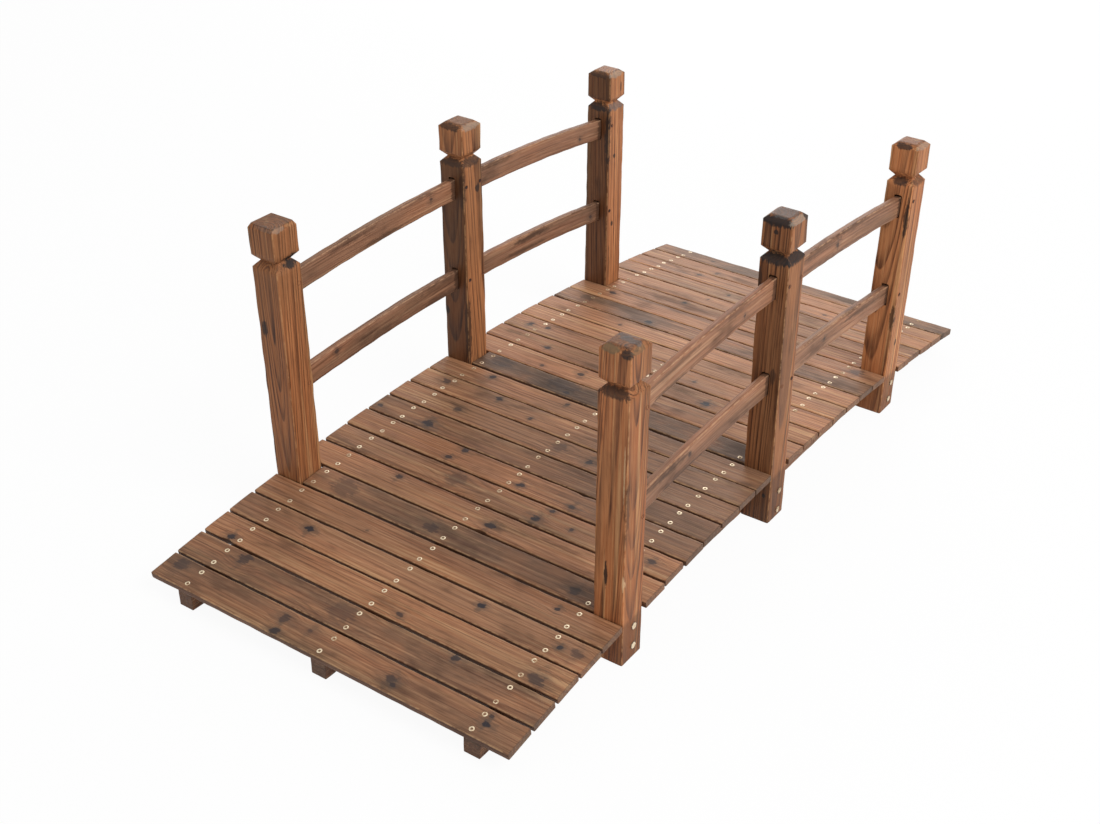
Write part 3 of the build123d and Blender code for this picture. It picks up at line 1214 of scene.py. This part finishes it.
@dataclass
class Fixings:
    """Countersunk screws in the boards, hexagon bolts in the posts' feet and nails through the tenons."""

    deck: Deck
    posts: Posts
    screw_radius: float = 4.3 * MM
    screw_rows: dict[str, float] = table({"left": 0.275, "middle": 0.003, "right": -0.2745})
    screw_ahead: tuple[float, float] = (-15.3 * MM, 15.3 * MM)
    screw_proud: float = 0.12 * MM
    screw_stray_mm: float = 1.6
    screw_lean: float = 0.03
    screw_depth: float = 3.0 * MM
    screw_foot_share: float = 0.45
    screw_rim: tuple[float, float] = (0.5 * MM, 0.3 * MM)
    screw_flat: float = 1.3 * MM
    cross_depth: float = 1.5 * MM
    cross_pinch: float = 0.7
    cross_foot_share: float = 0.55
    bolt_flat: float = 5.6 * MM
    bolt_head: float = 1.7 * MM
    bolt_seat: float = 1.0 * MM
    bolt_ease: float = 0.9 * MM
    bolt_crown: tuple[float, float] = (0.8 * MM, 0.25 * MM)
    shank_radius: float = 3.2 * MM
    shank_length: float = 12 * MM
    bolt_spots: dict[Station, Sequence[tuple[float, float]]] = table({
        Station.NEAR: ((-0.4448, 0.0585), (-0.4448, 0.0218)),
        Station.MIDDLE: ((0.006, 0.051), (0.006, 0.0125)),
        Station.FAR: ((0.4534, 0.0533), (0.4505, 0.0187)),
    })
    nail_heights: tuple[float, float] = (0.447, 0.2675)
    nail_inset: float = 17.8 * MM
    nail_stray_mm: float = 1.5
    nail_radii: tuple[float, float] = (2.6 * MM, 3.6 * MM)
    nail_depth: float = 2.0 * MM
    nail_sunk: float = 0.35 * MM
    nail_rim: float = 0.7 * MM
    nail_dip: float = 0.6 * MM
    finish: MetalFinish = MetalFinish()
    iron: MetalFinish = MetalFinish(
        bright=(0.014, 0.008, 0.007), dull=(0.03, 0.013, 0.009), sunk=(0.16, 0.045, 0.02),
        sunk_inside=False, sunk_mm=2.8, metallic=0.1, rough=0.7,
    )
    draw: random.Random = field(default_factory=lambda: random.Random(5))

    def build(self) -> None:
        """Makes every screw, bolt and nail."""
        zinc = self.finish.dress("yellow_zinc")
        for word, y in self.screw_rows.items():
            row = grained_mesh()
            for number in range(1, ARCH.board_count + 1):
                for ahead in self.screw_ahead:
                    self._screw(row, self.deck.spot(number) @ self._screw_spot(y, ahead))
            add_piece(f"screws_{word}", row, zinc, crisp_deg=40.0)
        bolts, nails = grained_mesh(), grained_mesh()
        for station in Station:
            for side in Side:
                self._fix_post(station, side, bolts, nails)
        bolt_metal = replace(self.finish, sunk_inside=False, sunk_mm=5.4).dress("bolt_zinc")
        add_piece("bolts", bolts, bolt_metal, crisp_deg=35.0)
        add_piece("nails", nails, self.iron.dress("nail_iron"), crisp_deg=40.0)

    def _screw_spot(self, y: float, ahead: float) -> Matrix:
        """Where one screw sits in its board, a little off its row and a little askew.

        Args:
            y: the row's place.
            ahead: the screw's place across the board.

        Returns:
            The head's frame in the board's own frame, z outwards.
        """
        chance, stray, lean = self.draw.uniform, self.screw_stray_mm, self.screw_lean
        along, across = (c + chance(-stray, stray) * MM for c in (-y, ahead))
        place = Matrix.Translation((along, across, ARCH.board_thickness / 2 + self.screw_proud))
        askew = Euler([chance(-lean, lean), chance(-lean, lean), chance(0.0, 1.5)])
        return place @ askew.to_matrix().to_4x4()

    def _fix_post(self, station: Station, side: Side, bolts: Shape, nails: Shape) -> None:
        """Puts one post's two bolts in, and a nail through each tenon.

        Args:
            station: its place along the walk.
            side: its side of the walk.
            bolts: the mesh of all bolts.
            nails: the mesh of all nails.
        """
        chance, stray, posts = self.draw.uniform, self.nail_stray_mm, self.posts
        spot = posts.spot(station, side)
        outwards = Matrix.Rotation(-side.value * math.pi / 2, 4, "X")
        for x, z in self.bolt_spots[station]:
            face = Vector((x, side.value * (posts.centre_y + posts.size / 2), z))
            spin = Matrix.Rotation(chance(0, math.pi), 4, "Z")
            self._bolt(bolts, Matrix.Translation(face) @ spot.to_3x3().to_4x4() @ outwards @ spin)
        ways = [way for way in (-1, 1) if -1 <= station.value + way <= 1]
        drop = ARCH.deck_z(0.0) - ARCH.deck_z(spot.translation.x)
        for height in self.nail_heights:
            for way in ways:
                through = -way * self.nail_inset + chance(-stray, stray) * MM
                up = height - drop + chance(-stray, stray) * MM
                at = Matrix.Translation((up, -posts.size / 2, through))
                self._nail(nails, spot @ at @ Matrix.Rotation(math.pi / 2, 4, "X"))

    def _screw(self, shape: Shape, spot: Matrix) -> None:
        """Adds one countersunk head with its cross recess to a mesh.

        Args:
            shape: the mesh of all screws in a row.
            spot: the head's frame, z outwards.
        """
        rim = bmesh.ops.create_circle(shape, cap_ends=True, radius=self.screw_radius, segments=12)["verts"]
        face = rim[0].link_faces[0]
        if face.normal.z < 0:
            bmesh.ops.reverse_faces(shape, faces=[face])
        below = bmesh.ops.extrude_edge_only(shape, edges=list(face.edges))["geom"]
        skirt = [g for g in below if isinstance(g, Corner)]
        narrow, pinch = self.screw_foot_share, self.cross_foot_share
        bmesh.ops.translate(shape, verts=skirt, vec=(0.0, 0.0, -self.screw_depth))
        bmesh.ops.scale(shape, verts=skirt, vec=(narrow, narrow, 1.0))
        bmesh.ops.contextual_create(shape, geom=[g for g in below if isinstance(g, bmesh.types.BMEdge)])
        for thickness, depth in (self.screw_rim, (self.screw_flat, 0.0)):
            bmesh.ops.inset_region(shape, faces=[face], thickness=thickness, depth=depth)
        for corner, vertex in enumerate(face.verts):
            if corner % 3 == 1:
                vertex.co.xy *= self.cross_pinch
        sunk = bmesh.ops.extrude_discrete_faces(shape, faces=[face])["faces"][0]
        bmesh.ops.translate(shape, verts=list(sunk.verts), vec=(0.0, 0.0, -self.cross_depth))
        bmesh.ops.scale(shape, verts=list(sunk.verts), vec=(pinch, pinch, 1.0))
        fresh = island(sunk)
        bmesh.ops.recalc_face_normals(shape, faces=faces_of(fresh))
        set_down(shape, fresh, spot)

    def _bolt(self, shape: Shape, spot: Matrix) -> None:
        """Adds one hexagon head and the start of its shank to a mesh.

        Args:
            shape: the mesh of all bolts.
            spot: the head's frame, z outwards from the post's face.
        """
        radius = self.bolt_flat / math.cos(math.pi / 6)
        depth, z = self.bolt_head + self.bolt_seat, (self.bolt_head - self.bolt_seat) / 2
        made = add_bar(shape, 6, radius, radius, depth, z)
        edges = dict.fromkeys(e for v in made for e in v.link_edges)
        crown = [e for e in edges if all(v.co.z > 0 for v in e.verts)]
        bmesh.ops.bevel(shape, geom=crown, offset=self.bolt_ease, segments=2, **EASE)
        lid = lid_of(island(made[0].link_faces[0]))
        bmesh.ops.inset_region(shape, faces=[lid], thickness=self.bolt_crown[0], depth=self.bolt_crown[1])
        low = -self.shank_length / 2 - self.bolt_seat / 2
        shank = add_bar(shape, 12, self.shank_radius, self.shank_radius, self.shank_length, low)
        set_down(shape, [*island(lid), *shank], spot)

    def _nail(self, shape: Shape, spot: Matrix) -> None:
        """Adds one sunk nail head to a mesh.

        Args:
            shape: the mesh of all nails.
            spot: the head's frame, z outwards from the post's face.
        """
        lid = lid_of(add_bar(shape, 12, *self.nail_radii, self.nail_depth, -self.nail_sunk))
        bmesh.ops.inset_region(shape, faces=[lid], thickness=self.nail_rim, depth=0.0)
        bmesh.ops.translate(shape, verts=list(lid.verts), vec=(0.0, 0.0, -self.nail_dip))
        set_down(shape, island(lid), spot)


@dataclass(frozen=True)
class Softbox:
    """One large soft lamp."""

    name: str
    place: Place
    aim: Place
    size: float
    watts: float

    def build(self) -> None:
        """Hangs the lamp and points it."""
        lamp = bpy.data.lights.new(self.name, "AREA")
        lamp.shape = "SQUARE"
        lamp.size = self.size
        lamp.energy = self.watts
        holder = stand(self.name, lamp)
        holder.location = self.place
        holder.rotation_euler = (Vector(self.aim) - Vector(self.place)).to_track_quat("-Z", "Y").to_euler()


@dataclass(frozen=True)
class Studio:
    """Pale floor, pale surroundings and soft lamps."""

    floor_radius: float = 14.0
    floor_drop: float = 0.4 * MM
    floor_colour: Colour = (0.96, 0.96, 0.96)
    floor_white_share: float = 0.94
    ambient: float = 0.42
    lamps: tuple[Softbox, ...] = (
        Softbox("key_softbox", (-0.7, -4.5, 4.6), (0.0, 0.0, 0.1), 3.4, 265.0),
        Softbox("back_softbox", (3.7, 1.8, 1.9), (0.1, 0.0, 0.1), 2.2, 60.0),
    )

    def build(self) -> None:
        """Sets up the floor, the surroundings, the lamps and the plain colour transform."""
        self._floor()
        self._surroundings()
        for lamp in self.lamps:
            lamp.build()
        bpy.context.scene.view_settings.view_transform = "Standard"

    def _floor(self) -> None:
        """Lays the floor, white to the camera but for the object's shadow."""
        shape = bmesh.new()
        bmesh.ops.create_circle(shape, cap_ends=True, radius=self.floor_radius, segments=96)
        bmesh.ops.translate(shape, verts=shape.verts, vec=(0.0, 0.0, -self.floor_drop))
        floor = stand("floor", shape)
        material, book = new_material("floor_paper")
        matt = book.add("ShaderNodeBsdfDiffuse", {}, {"Color": self.floor_colour})
        white = book.add("ShaderNodeEmission", {}, {"Color": WHITE, "Strength": 1.0})
        share = self._seen(book) * self.floor_white_share
        book.show(book.add("ShaderNodeMixShader", {}, {0: share, 1: matt, 2: white}))
        floor.data.materials.append(material)

    def _surroundings(self) -> None:
        """White surroundings to the camera and in reflections, dimmer as a light."""
        world = bpy.data.worlds.new("studio")
        world.use_nodes = True
        bpy.context.scene.world = world
        book = NodeBook(world.node_tree)
        strength = self._seen(book) * (1.0 - self.ambient) + self.ambient
        back = book.add("ShaderNodeBackground", {}, {"Color": WHITE, "Strength": strength})
        book.show(back, "ShaderNodeOutputWorld")

    @staticmethod
    def _seen(book: NodeBook) -> Sock:
        """1 where the ray comes from the camera, straight or by way of gloss or glass.

        Args:
            book: the node tree that asks.

        Returns:
            1 there, 0 elsewhere.
        """
        path = book.node("ShaderNodeLightPath", {}, {}).outputs
        names = ("Is Camera Ray", "Is Glossy Ray", "Is Transmission Ray")
        straight, gloss, glass = (Sock(book, path[name]) for name in names)
        return straight.most(gloss).most(glass)


@dataclass(frozen=True)
class PhotoCamera:
    """The photograph's camera."""

    place: Place = (-1.9116, -1.2408, 1.4611)
    azimuth_deg: float = -57.7
    elevation_deg: float = 31.63
    roll_deg: float = 2.02
    focal_px: float = 1497.16
    middle_px: tuple[float, float] = (623.54, 425.97)
    frame_px: tuple[float, float] = (1100.0, 824.0)
    sensor_mm: float = 36.0

    def build(self) -> None:
        """Makes the camera the scene's own."""
        turn, rise, roll = (math.radians(a) for a in (self.azimuth_deg, self.elevation_deg, self.roll_deg))
        back = Vector((math.sin(turn) * math.cos(rise), -math.cos(turn) * math.cos(rise), math.sin(rise)))
        right = Vector((math.cos(turn), math.sin(turn), 0.0))
        up = back.cross(right)
        level_right = right * math.cos(roll) + up * math.sin(roll)
        level_up = up * math.cos(roll) - right * math.sin(roll)
        data = bpy.data.cameras.new("photo_camera")
        width, height = self.frame_px
        data.sensor_width = self.sensor_mm
        data.lens = self.focal_px * self.sensor_mm / width
        data.shift_x = 0.5 - self.middle_px[0] / width
        data.shift_y = (self.middle_px[1] - height / 2) / width
        data.clip_start, data.clip_end = 0.05, 60.0
        camera = stand("photo_camera", data)
        camera.matrix_world = seat(self.place, level_right, level_up, back)
        bpy.context.scene.camera = camera


def main() -> None:
    """Builds the whole scene round the frame."""
    logging.basicConfig(level=logging.INFO, format="%(message)s")
    PhotoCamera().build()
    Studio().build()
    deck, posts = Deck(), Posts()
    deck.build()
    CurvedTimbers().build()
    posts.build()
    Fixings(deck, posts).build()


if __name__ == "__main__":
    main()
